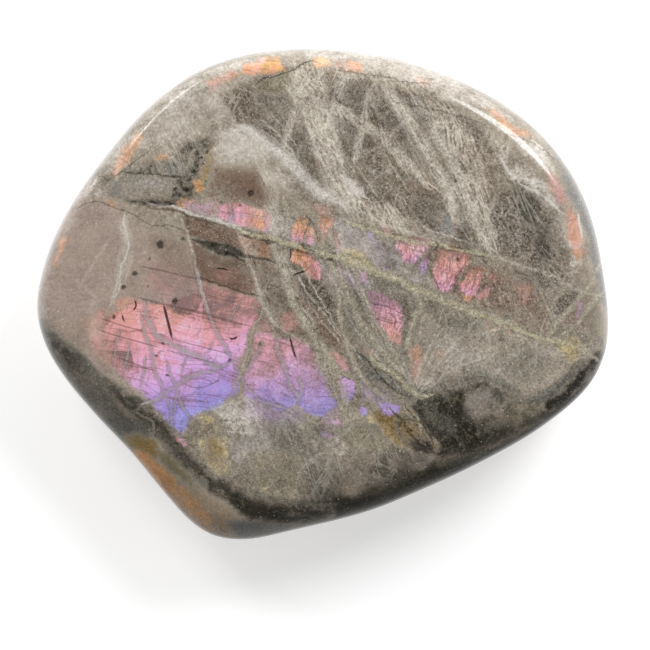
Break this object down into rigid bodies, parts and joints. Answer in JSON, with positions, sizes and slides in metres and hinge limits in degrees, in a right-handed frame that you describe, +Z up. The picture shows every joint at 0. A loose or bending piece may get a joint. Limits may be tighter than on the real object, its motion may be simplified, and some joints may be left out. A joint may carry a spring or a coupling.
{
  "type": "polished labradorite freeform",
  "caption": "Hand-size freeform stone of labradorite, polished all over, with a rounded edge and a flat back that it lies on, flashing face up.",
  "frame": {"origin": "on the surface the stone lies on, under the middle of its outline", "axes": "+Z up from the flat back to the flashing face, +X along the longest extent to the right of the face, +Y to the top edge of the face"},
  "size_m": [0.1502, 0.1296, 0.0412],
  "materials": {
    "polished_labradorite": "polished to a wet-looking gloss; colour play under the surface"
  },
  "bodies": {
    "root": {"labradorite_stone": "polished_labradorite"}
  },
  "joints": []
}
